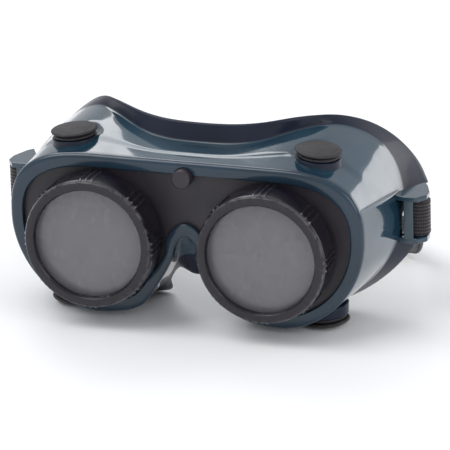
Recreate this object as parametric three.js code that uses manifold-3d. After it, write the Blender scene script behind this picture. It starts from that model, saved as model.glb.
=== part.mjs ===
// Welding goggles: a soft PVC frame with a hard front plate, two screw-on lens rings, four
// indirect vents and an elastic head strap. Millimetres. +X runs across the face, +Y points
// back towards the face and +Z points up. While it is built, the origin lies midway between
// the two lenses, on the front plane of the rings.
import * as THREE from "three";
import { mergeVertices } from "three/addons/utils/BufferGeometryUtils.js";
import Module from "manifold-3d";

const wasm = await Module();
wasm.setup();

// ---------------------------------------------------------------- driving dimensions
const GAP = 0.3; // clearance between pieces that touch

// lenses and the ring that screws over them
const LENS_SPACING = 76;
const LENS_RADIUS = 25;
const COVER_THICKNESS = 1.8;
const SHADE_THICKNESS = 3;
const GASKET_THICKNESS = 1.5;
const APERTURE_RADIUS = 23.5;
const LIP_THICKNESS = 2;
const RING_LENGTH = 15.5;
const RING_WALL = 1.4;
const THREAD_STEP = 1.5; // the thread bore is this much larger than the lens bore
const RIB_HEIGHT = 0.45;
const RIB_GROUPS = 8;
const RIBS_PER_GROUP = 3;
const RIB_PITCH_DEG = 5;
const RIB_WIDTH_DEG = 2.2;
const RIB_START = 1.6; // ribs begin this far behind the front plane
const CUP_TAIL = 1.5; // the cup stands this far out behind the plate

// soft frame
const RIM_Y = 16; // front plane of the bezel
const LIP_DEPTH = 2; // bezel lip in front of the plate
const PLATE_THICKNESS = 2.2;
const BEAD_DEPTH = 2.4; // bead that holds the plate from behind
const WALL = 2.2;
const FLANGE_THICKNESS = 1.8;
const RIM_HALF_WIDTH = 78.2;
const RIM_TOP = 34.6;
const RIM_BOTTOM = -36.2;
const BEZEL_WIDTH = 5.8;
const FLANGE_HALF_WIDTH = 91.8;
const FLANGE_TOP = 46.1;
const FLANGE_BOTTOM = -38.4;
const FLANGE_CROWN_X = 47.5; // the brow hump
const BROW_Y = 41.5; // depth of the flange at the middle of the brow
const TEMPLE_Y = 89.5; // depth of the flange's temple corners
const FLANGE_SIDE_Y = 70.5; // depth of the flange beside the lugs
const CHEEK_Y = 53; // depth of the flange on the cheeks
const CREASE_HALF_WIDTH = 83;
const CREASE_TOP = 41.2;
const CREASE_BOTTOM = -34.6;
const CREASE_SIDE_Y = 55;
const MIDDLE_Z = 5; // height of the widest point

// nose opening
const NOSE_APEX_Z = 0.8;
const NOSE_BAND = 6.1; // bezel width over the arch
const NOSE_SHOULDER = 4;
const NOSE_FOOT_X = 22;
const NOSE_FLAP_Z = -20;
const NOSE_FLAP_Y = 30;

// centre stud
const STUD_RADIUS = 4.1;
const STUD_Z = 27.9;
const STUD_PROUD = 3.6; // in front of the bezel
const STUD_SHANK_RADIUS = 2.2;

// vents
const VENT_CAP_RADIUS = 10.15;
const VENT_BASE_RADIUS = 8.9;
const VENT_NECK_RADIUS = 5.6;
const VENT_STEM_RADIUS = 2.6;
const VENT_Y = 33;
const VENT_TILT_DEG = 5;
const TOP_VENT = { x: 54, face: 36.3 };
const BOTTOM_VENT = { x: 56, face: 33.6 };

// strap and its lugs
const STRAP_WIDTH = 15;
const STRAP_THICKNESS = 1.4;
const LUG_X = 89.3;
const LUG_Y = 59.5;
const LUG_Z = 4;
const LUG_BAR_RADIUS = 3.6;
const LUG_PLATE = 2.3;
const LUG_GUARD = 1.8; // depth of the guard bar in front of the strap
const STRAP_REACH = 130; // depth of the strap's straight back stretch
const STRAP_STRAIGHT = 45; // half length of that stretch
const STRAP_TAIL_X = -12; // where the loose tail ends
const STRAP_TAB = 24; // length of the sewn end
const SLIDER_X = 24;
const SLIDER_LENGTH = 17;
const SLIDER_BAR = 3;
const SLIDER_PLATE = 1.6;

const EYE_X = LENS_SPACING / 2;

// ---------------------------------------------------------------- materials
const finish = (color, roughness, metalness = 0) =>
  new THREE.MeshStandardMaterial({ color, roughness, metalness });
const softPvc = () => finish(0x3b5360, 0.18);
const hardPlastic = () => finish(0x2a272c, 0.38);
const ringPlastic = () => finish(0x2d2b30, 0.34);
const ventRubber = () => finish(0x454247, 0.6);
const elastic = () => finish(0x262024, 0.85);
const clearGlass = () => finish(0x9a9b9c, 0.05);
const shadeGlass = () => finish(0x3c4a40, 0.08);
const gasketRubber = () => finish(0x1f1e20, 0.75);

// ---------------------------------------------------------------- mesh helpers
// A closed surface over a grid: rails[j][i] is station i of rail j, closed both ways.
function torusBody(rails) {
  const count = rails[0].length;
  const positions = rails.flat().flatMap((p) => [p.x, p.y, p.z]);
  const index = [];
  for (let j = 0; j < rails.length; j++) {
    const next = (j + 1) % rails.length;
    for (let i = 0; i < count; i++) {
      const k = (i + 1) % count;
      index.push(j * count + i, j * count + k, next * count + i);
      index.push(next * count + i, j * count + k, next * count + k);
    }
  }
  return facingOut(positions, index);
}

// A closed surface over rails that are open at both ends, with flat ends.
function barBody(rails) {
  const count = rails[0].length;
  const positions = rails.flat().flatMap((p) => [p.x, p.y, p.z]);
  const index = [];
  for (let j = 0; j < rails.length; j++) {
    const next = (j + 1) % rails.length;
    for (let i = 0; i < count - 1; i++) {
      index.push(j * count + i, j * count + i + 1, next * count + i);
      index.push(next * count + i, j * count + i + 1, next * count + i + 1);
    }
  }
  for (let j = 1; j < rails.length - 1; j++) {
    index.push(0, j * count, (j + 1) * count);
    index.push(count - 1, (j + 2) * count - 1, (j + 1) * count - 1);
  }
  return facingOut(positions, index);
}

// Makes the geometry, turned so that its faces point out.
function facingOut(positions, index) {
  const at = (i) => new THREE.Vector3(...positions.slice(3 * i, 3 * i + 3));
  let volume = 0;
  for (let i = 0; i < index.length; i += 3)
    volume += at(index[i]).dot(at(index[i + 1]).cross(at(index[i + 2])));
  if (volume < 0)
    for (let i = 0; i < index.length; i += 3)
      [index[i + 1], index[i + 2]] = [index[i + 2], index[i + 1]];
  const geometry = new THREE.BufferGeometry();
  geometry.setAttribute("position", new THREE.Float32BufferAttribute(positions, 3));
  geometry.setIndex(index);
  return geometry;
}

// A closed profile of [radius, y] points turned about an axis along Y.
function turned(profile, segments = 64) {
  const points = profile.map(([r, y]) => new THREE.Vector2(r, y));
  return new THREE.LatheGeometry(points, segments);
}

function block(x, y, z, centre) {
  return new THREE.BoxGeometry(x, y, z).translate(...centre);
}

function rod(radius, length, centre, segments = 40) {
  return new THREE.CylinderGeometry(radius, radius, length, segments).translate(...centre);
}

function solid(geometry) {
  const bare = geometry.clone();
  bare.deleteAttribute("normal");
  bare.deleteAttribute("uv");
  const merged = mergeVertices(bare, 1e-4);
  return new wasm.Manifold(
    new wasm.Mesh({
      numProp: 3,
      vertProperties: new Float32Array(merged.attributes.position.array),
      triVerts: new Uint32Array(merged.index.array),
    }),
  );
}

function geometryOf(manifold) {
  const mesh = manifold.getMesh();
  const geometry = new THREE.BufferGeometry();
  geometry.setAttribute("position", new THREE.BufferAttribute(mesh.vertProperties, 3));
  geometry.setIndex(new THREE.BufferAttribute(mesh.triVerts, 1));
  return geometry;
}

const goggles = new THREE.Group();

function addPart(name, geometry, material, parent = goggles) {
  const mesh = new THREE.Mesh(geometry, material);
  mesh.name = name;
  parent.add(mesh);
  return mesh;
}

const lerp = (a, b, t) => a + (b - a) * t;
const smooth = (t) => t * t * (3 - 2 * t);

// ---------------------------------------------------------------- outlines
const TOP_STEPS = 5;
const LOBE_STEPS = 20;
const NOSE_STEPS = 12;
const BASE_SHIFT = 2; // the bottom of a lobe lies this far outside its eye

// Half of an outline seen from the front, from the top centre round one eye to the nose arch.
// The lobe round the eye is two quarter superellipses; the nose side is a spline.
function halfOutline({ side, top, topCentre, bottom, crownX, upperPower, lowerPower, nose }) {
  const points = [];
  for (let i = 0; i < TOP_STEPS; i++) {
    const t = i / TOP_STEPS;
    points.push(new THREE.Vector2(crownX * t, lerp(topCentre, top, smooth(t) ** 2)));
  }
  for (let i = 0; i <= LOBE_STEPS; i++) {
    const angle = Math.PI * (0.5 - i / LOBE_STEPS);
    const power = angle >= 0 ? upperPower : lowerPower;
    const reach = angle >= 0 ? top - MIDDLE_Z : MIDDLE_Z - bottom;
    const centreX = angle >= 0 ? crownX : lerp(crownX, EYE_X + BASE_SHIFT, -2 * angle / Math.PI);
    const across = Math.max(Math.cos(angle), 0) ** (2 / power);
    const up = Math.sign(angle) * Math.abs(Math.sin(angle)) ** (2 / power);
    points.push(new THREE.Vector2(centreX + (side - centreX) * across, MIDDLE_Z + reach * up));
  }
  const knots = [[EYE_X + BASE_SHIFT, bottom], ...nose].map(([x, z]) => new THREE.Vector3(x, 0, z));
  const last = knots[knots.length - 2];
  const guide = [new THREE.Vector3(EYE_X + 12, 0, bottom), ...knots];
  guide.push(new THREE.Vector3(-last.x, 0, last.z));
  const curve = new THREE.CatmullRomCurve3(guide, false, "centripetal");
  const spans = guide.length - 1;
  for (let i = 1; i <= NOSE_STEPS; i++) {
    const t = lerp(1, spans - 1, i / NOSE_STEPS) / spans;
    const p = curve.getPoint(t);
    points.push(new THREE.Vector2(Math.max(p.x, 0), p.z));
  }
  points[points.length - 1].x = 0;
  return points;
}

// Depth along a half outline: a smooth curve through the depths at the places that are named.
function halfDepths({ centre, crown, brow, temple, upper, side, cheek, foot, apex }) {
  const lobe = (share) => TOP_STEPS + LOBE_STEPS * share;
  const nose = (share) => TOP_STEPS + LOBE_STEPS + NOSE_STEPS * share;
  const marks = [
    [0, centre],
    [TOP_STEPS / 2, centre],
    [lobe(0), crown],
    [lobe(0.125), brow],
    [lobe(0.25), temple],
    [lobe(0.375), upper],
    [lobe(0.5), side],
    [lobe(0.85), cheek],
    [nose(0.3), foot],
    [nose(1), apex],
  ];
  const slopes = marks.map((mark, k) => {
    if (k === 0 || k === marks.length - 1) return 0;
    return (marks[k + 1][1] - marks[k - 1][1]) / (marks[k + 1][0] - marks[k - 1][0]);
  });
  const depths = [];
  for (let i = 0; i <= nose(1); i++) {
    const k = Math.max(1, marks.findIndex((m) => m[0] >= i));
    const width = marks[k][0] - marks[k - 1][0];
    const t = (i - marks[k - 1][0]) / width;
    const eased = lerp(marks[k - 1][1], marks[k][1], smooth(t));
    const lean = t * (1 - t) * width * ((1 - t) * slopes[k - 1] - t * slopes[k]);
    depths.push(eased + lean);
  }
  return depths;
}

// The whole closed rail: the half outline and its mirror image.
function rail(half, depths) {
  const right = half.map((p, i) => new THREE.Vector3(p.x, depths[i], p.y));
  const left = right.slice(1, -1).reverse();
  return [...right, ...left.map((p) => new THREE.Vector3(-p.x, p.y, p.z))];
}

const bezelOuterHalf = halfOutline({
  side: RIM_HALF_WIDTH,
  top: RIM_TOP,
  topCentre: RIM_TOP,
  bottom: RIM_BOTTOM,
  crownX: EYE_X,
  upperPower: 2.75,
  lowerPower: 1.95,
  nose: [
    [NOSE_FOOT_X, RIM_BOTTOM + 3.6],
    [lerp(NOSE_SHOULDER, NOSE_FOOT_X, 0.5), lerp(RIM_BOTTOM, NOSE_APEX_Z, 0.4)],
    [lerp(NOSE_SHOULDER, NOSE_FOOT_X, 0.14), lerp(RIM_BOTTOM, NOSE_APEX_Z, 0.71)],
    [NOSE_SHOULDER - 0.3, NOSE_APEX_Z - 3],
    [0, NOSE_APEX_Z],
  ],
});
const bezelInnerHalf = halfOutline({
  side: RIM_HALF_WIDTH - BEZEL_WIDTH,
  top: RIM_TOP - BEZEL_WIDTH,
  topCentre: RIM_TOP - BEZEL_WIDTH,
  bottom: RIM_BOTTOM + BEZEL_WIDTH,
  crownX: EYE_X,
  upperPower: 2.6,
  lowerPower: 2,
  nose: [
    [NOSE_FOOT_X + 2.5, RIM_BOTTOM + BEZEL_WIDTH + 3],
    [lerp(NOSE_SHOULDER, NOSE_FOOT_X, 0.5) + 2.8, lerp(RIM_BOTTOM, NOSE_APEX_Z, 0.4) + 4.6],
    [lerp(NOSE_SHOULDER, NOSE_FOOT_X, 0.14) + 3.3, lerp(RIM_BOTTOM, NOSE_APEX_Z, 0.71) + 2],
    [NOSE_SHOULDER + 3.9, NOSE_APEX_Z + 0.6],
    [0, NOSE_APEX_Z + NOSE_BAND],
  ],
});
const creaseHalf = halfOutline({
  side: CREASE_HALF_WIDTH,
  top: CREASE_TOP,
  topCentre: RIM_TOP + 0.6,
  bottom: CREASE_BOTTOM,
  crownX: FLANGE_CROWN_X,
  upperPower: 1.8,
  lowerPower: 1.9,
  nose: [
    [NOSE_FOOT_X + 0.5, CREASE_BOTTOM + 2.2],
    [NOSE_FOOT_X - 6.5, CREASE_BOTTOM + 9.5],
    [NOSE_FOOT_X - 12, lerp(CREASE_BOTTOM, NOSE_APEX_Z, 0.5)],
    [NOSE_SHOULDER + 1.5, NOSE_APEX_Z - 11.5],
    [0, NOSE_APEX_Z - 9],
  ],
});
const flangeHalf = halfOutline({
  side: FLANGE_HALF_WIDTH,
  top: FLANGE_TOP,
  topCentre: FLANGE_TOP - 3.6,
  bottom: FLANGE_BOTTOM,
  crownX: FLANGE_CROWN_X,
  upperPower: 1.26,
  lowerPower: 1.65,
  nose: [
    [NOSE_FOOT_X - 2.5, FLANGE_BOTTOM + 1.8],
    [NOSE_FOOT_X - 4.2, FLANGE_BOTTOM + 8],
    [NOSE_SHOULDER + 7.2, NOSE_FLAP_Z - 1.8],
    [NOSE_SHOULDER + 1, NOSE_FLAP_Z - 0.2],
    [0, NOSE_FLAP_Z],
  ],
});

const flatDepths = (y) => bezelOuterHalf.map(() => y);
const creaseDepths = halfDepths({
  centre: BROW_Y - 1.5,
  crown: BROW_Y + 17,
  brow: BROW_Y + 25.5,
  temple: TEMPLE_Y - 18,
  upper: TEMPLE_Y - 25,
  side: CREASE_SIDE_Y,
  cheek: CHEEK_Y - 8,
  foot: CHEEK_Y - 13,
  apex: NOSE_FLAP_Y - 7,
});
const flangeDepths = halfDepths({
  centre: BROW_Y,
  crown: BROW_Y + 13.5,
  brow: TEMPLE_Y - 14.5,
  temple: TEMPLE_Y,
  upper: TEMPLE_Y - 9.5,
  side: FLANGE_SIDE_Y,
  cheek: CHEEK_Y + 1,
  foot: CHEEK_Y - 3,
  apex: NOSE_FLAP_Y,
});

// Half outline that lies a share t of the way across the bezel.
function acrossBezel(t) {
  return bezelInnerHalf.map((p, i) => p.clone().lerp(bezelOuterHalf[i], t));
}

// ---------------------------------------------------------------- soft frame
const PLATE_FRONT = RIM_Y + LIP_DEPTH + GAP;
const PLATE_BACK = PLATE_FRONT + PLATE_THICKNESS;
const GROOVE_SHARE = 0.56; // the plate's groove reaches this share across the bezel
const PLATE_SHARE = 0.46;

function mixRails(a, b, t) {
  return a.map((p, i) => p.clone().lerp(b[i], t));
}

// Moves a rail by the wall thickness, along the normal of the surface through its neighbours.
function insideRail(before, at, after, thickness) {
  const count = at.length;
  return at.map((p, i) => {
    const along = at[(i + 2) % count].clone().sub(at[(i + count - 2) % count]);
    const across = after[i].clone().sub(before[i]);
    const normal = across.cross(along).normalize();
    return p.clone().addScaledVector(normal, thickness);
  });
}

function shellRails() {
  const bezel = (t, y) => rail(acrossBezel(t), flatDepths(y));
  const crease = rail(creaseHalf, creaseDepths);
  const tip = rail(flangeHalf, flangeDepths);
  const front = bezel(1, RIM_Y + 1.7);
  const wallNear = mixRails(front, crease, 0.4);
  const wallFar = mixRails(front, crease, 0.88);
  const flare = mixRails(crease, tip, 0.3);
  const bend = mixRails(mixRails(wallFar, flare, 0.5), crease, 0.5);
  const beyond = mixRails(flare, tip, 1.4);
  const groove = PLATE_BACK + GAP;
  return [
    bezel(0, RIM_Y + 0.5),
    bezel(0.14, RIM_Y),
    bezel(0.82, RIM_Y),
    bezel(0.96, RIM_Y + 0.5),
    front,
    wallNear,
    wallFar,
    bend,
    flare,
    tip,
    insideRail(flare, tip, beyond, FLANGE_THICKNESS * 0.8),
    insideRail(bend, flare, tip, FLANGE_THICKNESS),
    insideRail(wallFar, bend, flare, WALL),
    insideRail(wallNear, wallFar, bend, WALL),
    insideRail(front, wallNear, wallFar, WALL),
    bezel(0.6, groove + BEAD_DEPTH),
    bezel(0.16, groove + BEAD_DEPTH),
    bezel(0.16, groove),
    bezel(GROOVE_SHARE, groove),
    bezel(GROOVE_SHARE, RIM_Y + LIP_DEPTH),
    bezel(0, RIM_Y + LIP_DEPTH),
  ];
}

const LUG_WINDOW = STRAP_WIDTH + 1.2;
const LUG_HEIGHT = LUG_WINDOW + 2 * LUG_PLATE;
const LOOP_RADIUS = LUG_BAR_RADIUS + GAP + STRAP_THICKNESS;

// A flat plate of a lug, from the wall out round the strap and back to depth `back` on the flange.
function lugPlate(back, low) {
  const front = LUG_Y - LOOP_RADIUS - GAP - LUG_GUARD;
  const outline = new THREE.Shape();
  outline.moveTo(CREASE_HALF_WIDTH - 1.6, front + 1.2);
  outline.lineTo(LUG_X - 4.6, front);
  outline.lineTo(LUG_X + 1.6, front);
  outline.lineTo(LUG_X + 4.6, LUG_Y - 3);
  outline.lineTo(LUG_X + 4.4, LUG_Y + 2);
  outline.lineTo(FLANGE_HALF_WIDTH - 1.2, FLANGE_SIDE_Y - 1);
  outline.lineTo(FLANGE_HALF_WIDTH - 3.6, back);
  outline.lineTo(CREASE_HALF_WIDTH - 1, LUG_Y);
  const plate = new THREE.ExtrudeGeometry(outline, { depth: LUG_PLATE, bevelEnabled: false });
  return plate.translate(0, 0, low);
}

// One strap lug: two plates, a guard bar in front and a round bar for the strap.
function lugBody(side) {
  const front = LUG_Y - LOOP_RADIUS - GAP;
  const top = lugPlate(FLANGE_SIDE_Y + 2, LUG_Z + LUG_WINDOW / 2);
  const bottom = lugPlate(FLANGE_SIDE_Y, LUG_Z - LUG_WINDOW / 2 - LUG_PLATE);
  const guard = block(4.2, LUG_GUARD, LUG_HEIGHT - 1, [LUG_X - 2.5, front - LUG_GUARD / 2, LUG_Z]);
  const bar = rod(LUG_BAR_RADIUS, LUG_HEIGHT - 1, [0, 0, 0], 28);
  bar.rotateX(Math.PI / 2).translate(LUG_X, LUG_Y, LUG_Z);
  const whole = solid(top).add(solid(bottom)).add(solid(guard)).add(solid(bar));
  return side > 0 ? whole : whole.mirror([1, 0, 0]);
}

// The notch in the edge of the flange behind a lug, where the strap passes.
function lugNotch(side) {
  const inner = LUG_X - LOOP_RADIUS - GAP - 1;
  const outer = FLANGE_HALF_WIDTH + 1;
  const centre = [(side * (inner + outer)) / 2, LUG_Y + 12, LUG_Z];
  return solid(block(outer - inner, 36, LUG_WINDOW, centre));
}

// Where a vent stands: its group is placed on the wall with +Z pointing out of the frame.
function ventPlace(side, up) {
  const { x, face } = up > 0 ? TOP_VENT : BOTTOM_VENT;
  const place = new THREE.Group();
  place.position.set(side * x, VENT_Y, up * face);
  place.rotation.y = THREE.MathUtils.degToRad(side * VENT_TILT_DEG * up);
  if (up < 0) place.rotation.y += Math.PI;
  place.updateMatrixWorld(true);
  return place;
}

const VENTS = [
  { name: "top_left", side: -1, up: 1 },
  { name: "top_right", side: 1, up: 1 },
  { name: "bottom_left", side: -1, up: -1 },
  { name: "bottom_right", side: 1, up: -1 },
];
const BOSS_RADIUS = VENT_BASE_RADIUS + 0.8;
const BOSS_DEPTH = 4.6;

function onVent(vent, radius, from, to) {
  const geometry = rod(radius, to - from, [0, (from + to) / 2, 0], 28).rotateX(Math.PI / 2);
  return solid(geometry.applyMatrix4(ventPlace(vent.side, vent.up).matrixWorld));
}

function frameShell() {
  let body = solid(torusBody(shellRails()));
  for (const side of [-1, 1]) body = body.subtract(lugNotch(side)).add(lugBody(side));
  for (const vent of VENTS) {
    body = body.add(onVent(vent, BOSS_RADIUS, -BOSS_DEPTH, 0));
    body = body.subtract(onVent(vent, VENT_CAP_RADIUS + GAP, 0, 7));
    body = body.subtract(onVent(vent, VENT_NECK_RADIUS + GAP, -BOSS_DEPTH - 12, 4));
  }
  const notch = rod(STUD_RADIUS + GAP, 24, [0, RIM_Y, STUD_Z]);
  return geometryOf(body.subtract(solid(notch)));
}

// ---------------------------------------------------------------- front plate with its cups
const RING_BORE = LENS_RADIUS + GAP;
const THREAD_BORE = RING_BORE + THREAD_STEP;
const RING_RADIUS = THREAD_BORE + RING_WALL;
const CUP_RADIUS = THREAD_BORE - GAP;
const STACK = COVER_THICKNESS + SHADE_THICKNESS + GASKET_THICKNESS + 4 * GAP;
const CUP_FRONT = LIP_THICKNESS + STACK;

function frontPlate() {
  const edge = rail(acrossBezel(PLATE_SHARE), flatDepths(0));
  const shape = new THREE.Shape(edge.map((p) => new THREE.Vector2(p.x, p.z)));
  const plate = new THREE.ExtrudeGeometry(shape, { depth: PLATE_THICKNESS, bevelEnabled: false });
  plate.rotateX(Math.PI / 2).translate(0, PLATE_BACK, 0);
  let body = solid(plate);
  for (const x of [-EYE_X, EYE_X]) {
    const length = PLATE_BACK + CUP_TAIL - CUP_FRONT;
    const middle = CUP_FRONT + length / 2;
    body = body.add(solid(rod(CUP_RADIUS, length, [x, middle, 0], 64)));
    body = body.subtract(solid(rod(APERTURE_RADIUS, 60, [x, middle, 0], 64)));
  }
  const hole = rod(STUD_SHANK_RADIUS + GAP, 20, [0, PLATE_FRONT, STUD_Z], 32);
  return geometryOf(body.subtract(solid(hole)));
}

// A push-in stud: a flat head on the plate, a shank through it and a catch behind it.
function centreStud() {
  const front = RIM_Y - STUD_PROUD;
  const seat = PLATE_FRONT - GAP;
  const catchFace = PLATE_BACK + GAP;
  return turned([
    [0, front],
    [STUD_RADIUS - 0.5, front],
    [STUD_RADIUS, front + 0.5],
    [STUD_RADIUS, seat],
    [STUD_SHANK_RADIUS, seat],
    [STUD_SHANK_RADIUS, catchFace],
    [STUD_SHANK_RADIUS + 1, catchFace],
    [STUD_SHANK_RADIUS - 0.4, catchFace + 2.4],
    [0, catchFace + 2.4],
  ], 28).translate(0, 0, STUD_Z);
}

// ---------------------------------------------------------------- lens ring

// Angles round the ring: close together at the edges of each rib, sparse between groups.
function ringAngles() {
  const marks = [];
  const span = 360 / RIB_GROUPS;
  const ramp = 0.5;
  for (let g = 0; g < RIB_GROUPS; g++) {
    const middle = 90 + g * span;
    for (let r = 0; r < RIBS_PER_GROUP; r++) {
      const at = middle + (r - (RIBS_PER_GROUP - 1) / 2) * RIB_PITCH_DEG;
      const half = RIB_WIDTH_DEG / 2;
      marks.push([at - half, 0], [at - half + ramp, 1], [at + half - ramp, 1], [at + half, 0]);
    }
    const clear = span - (RIBS_PER_GROUP - 1) * RIB_PITCH_DEG - RIB_WIDTH_DEG;
    const start = middle + ((RIBS_PER_GROUP - 1) * RIB_PITCH_DEG + RIB_WIDTH_DEG) / 2;
    for (let s = 1; s <= 2; s++) marks.push([start + (clear * s) / 3, 0]);
  }
  return marks.map(([degrees, lift]) => [THREE.MathUtils.degToRad(degrees), lift * RIB_HEIGHT]);
}

// The ring: a turned profile whose skirt is lifted into grip ribs.
function lensRing() {
  const bevel = 0.8;
  const step = CUP_FRONT - GASKET_THICKNESS - 2 * GAP;
  const profile = [
    [APERTURE_RADIUS, LIP_THICKNESS, 0],
    [APERTURE_RADIUS, LIP_THICKNESS - 0.7, 0],
    [APERTURE_RADIUS + bevel, 0, 0],
    [RING_RADIUS - 1.4, 0, 0],
    [RING_RADIUS - 0.4, 0.4, 0],
    [RING_RADIUS, RIB_START, 0],
    [RING_RADIUS, RIB_START + 0.5, 1],
    [RING_RADIUS - 0.2, RING_LENGTH, 1],
    [THREAD_BORE, RING_LENGTH, 0],
    [THREAD_BORE, step, 0],
    [RING_BORE, step, 0],
    [RING_BORE, LIP_THICKNESS, 0],
  ];
  const angles = ringAngles();
  return torusBody(profile.map(([r, y, ribbed]) => angles.map(([a, lift]) => {
    const radius = r + ribbed * lift;
    return new THREE.Vector3(radius * Math.cos(a), y, radius * Math.sin(a));
  })));
}

// A round pane or washer between two depths.
function disc(radius, front, thickness) {
  return turned([[0, front], [radius, front], [radius, front + thickness], [0, front + thickness]], 48);
}

function gasketRing(front) {
  const inner = APERTURE_RADIUS - 0.4;
  return turned([
    [inner, front],
    [CUP_RADIUS - 0.2, front],
    [CUP_RADIUS - 0.2, front + GASKET_THICKNESS],
    [inner, front + GASKET_THICKNESS],
    [inner, front],
  ], 48);
}

// ---------------------------------------------------------------- vents
// The vent body lies on the boss and its tube passes through the wall.
function ventBody() {
  const low = -BOSS_DEPTH - 2.5;
  const bore = VENT_STEM_RADIUS + GAP;
  return turned([
    [bore, low],
    [VENT_NECK_RADIUS, low],
    [VENT_NECK_RADIUS, GAP],
    [VENT_BASE_RADIUS, GAP],
    [VENT_BASE_RADIUS, 1.2],
    [VENT_BASE_RADIUS - 0.9, 1.4],
    [VENT_BASE_RADIUS - 0.9, 1.7],
    [bore, 1.7],
    [bore, low],
  ], 20).rotateX(Math.PI / 2);
}

// The domed cap stands over the body on a stem, with an air gap all round its edge.
function ventCap() {
  const under = 2;
  const edge = under + 0.9;
  const profile = [
    [0, -BOSS_DEPTH],
    [VENT_STEM_RADIUS, -BOSS_DEPTH],
    [VENT_STEM_RADIUS, under],
    [VENT_CAP_RADIUS - 0.9, under],
    [VENT_CAP_RADIUS - 0.15, under + 0.35],
    [VENT_CAP_RADIUS, edge],
    [VENT_CAP_RADIUS - 0.7, edge + 0.75],
  ];
  const domeTop = edge + 1.45;
  for (let i = 1; i <= 3; i++) {
    const t = i / 3;
    const r = (VENT_CAP_RADIUS - 0.7) * Math.cos((t * Math.PI) / 2);
    profile.push([t === 1 ? 0 : r, lerp(edge + 0.75, domeTop, Math.sin((t * Math.PI) / 2))]);
  }
  return turned(profile, 24).rotateX(Math.PI / 2);
}

// ---------------------------------------------------------------- strap
const LAYER = STRAP_THICKNESS + GAP; // pitch of two strap layers that lie together
const FLOOR_Z = FLANGE_BOTTOM;

// The middle of the doubled strap on the right-hand side, from the flange notch to the back.
const strapSide = new THREE.CubicBezierCurve(
  new THREE.Vector2(LUG_X - 3.6, LUG_Y + 7),
  new THREE.Vector2(LUG_X - 7.3, LUG_Y + 33.5),
  new THREE.Vector2(LUG_X - 17.3, STRAP_REACH),
  new THREE.Vector2(STRAP_STRAIGHT, STRAP_REACH),
);

// Points of that middle line, with their plan normals.
function strapMiddle() {
  const points = [];
  const steps = 16;
  for (let i = 0; i <= steps; i++) {
    const p = strapSide.getPoint(i / steps);
    const d = strapSide.getTangent(i / steps);
    points.push({ x: p.x, y: p.y, nx: d.y, ny: -d.x });
  }
  return points;
}

// Height of the strap's middle: level at the lug, then down until its edge lies on the floor.
function strapHeight(y) {
  const start = LUG_Y + 10;
  const rest = FLOOR_Z + STRAP_WIDTH / 2 + GAP + SLIDER_PLATE;
  const t = THREE.MathUtils.clamp((y - start) / (STRAP_REACH - 8 - start), 0, 1);
  return lerp(LUG_Z, rest, smooth(t));
}

// Plan points of one layer on the right: shift > 0 lies outside the middle, shift < 0 inside.
function strapLayer(shift, from = 0, to = 1) {
  const middle = strapMiddle();
  const first = Math.round(from * (middle.length - 1));
  const last = Math.round(to * (middle.length - 1));
  return middle.slice(first, last + 1).map((p) => [p.x + p.nx * shift, p.y + p.ny * shift]);
}

// The fold round the lug bar, from the inside layer to the outside layer.
function strapFold() {
  const radius = LUG_BAR_RADIUS + GAP + STRAP_THICKNESS / 2;
  const points = [];
  const sweepStart = 140;
  const sweepEnd = 420;
  for (let a = sweepStart; a <= sweepEnd; a += 20) {
    const angle = THREE.MathUtils.degToRad(a);
    points.push([LUG_X + radius * Math.cos(angle), LUG_Y + radius * Math.sin(angle)]);
  }
  return points;
}

// The whole centre line: loose tail, right fold, round the back, left fold, sewn tab.
function strapRoute() {
  const inside = strapLayer(-LAYER / 2);
  const outside = strapLayer(LAYER / 2);
  const mirrored = (points) => points.map(([x, y]) => [-x, y]);
  const tabShare = STRAP_TAB / strapSide.getLength();
  const tailEnd = [[STRAP_TAIL_X, STRAP_REACH - LAYER / 2]];
  const tail = [0.25, 0.5, 0.75].map((t) => [
    lerp(STRAP_TAIL_X, STRAP_STRAIGHT, t),
    STRAP_REACH - LAYER / 2,
  ]);
  const back = [0.75, 0.5, 0.25, 0, -0.25, -0.5, -0.75].map((t) => [
    t * STRAP_STRAIGHT,
    STRAP_REACH + LAYER / 2,
  ]);
  return [
    ...tailEnd,
    ...tail,
    ...inside.slice().reverse(),
    ...strapFold(),
    ...outside,
    ...back,
    ...mirrored(outside).reverse(),
    ...mirrored(strapFold()).reverse(),
    ...mirrored(strapLayer(-LAYER / 2, 0, tabShare)),
  ];
}

// A band of the strap's width and thickness, standing on edge along the route.
function strapBand() {
  const route = strapRoute();
  const corners = [[-1, -1], [1, -1], [1, 1], [-1, 1]];
  const rails = corners.map(() => []);
  route.forEach(([x, y], i) => {
    const [x0, y0] = route[Math.max(i - 1, 0)];
    const [x1, y1] = route[Math.min(i + 1, route.length - 1)];
    const length = Math.hypot(x1 - x0, y1 - y0);
    const [nx, ny] = [(y1 - y0) / length, -(x1 - x0) / length];
    corners.forEach(([a, b], k) => {
      const out = (a * STRAP_THICKNESS) / 2;
      const z = strapHeight(y) + (b * STRAP_WIDTH) / 2;
      rails[k].push(new THREE.Vector3(x + nx * out, y + ny * out, z));
    });
  });
  return barBody(rails);
}

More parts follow.
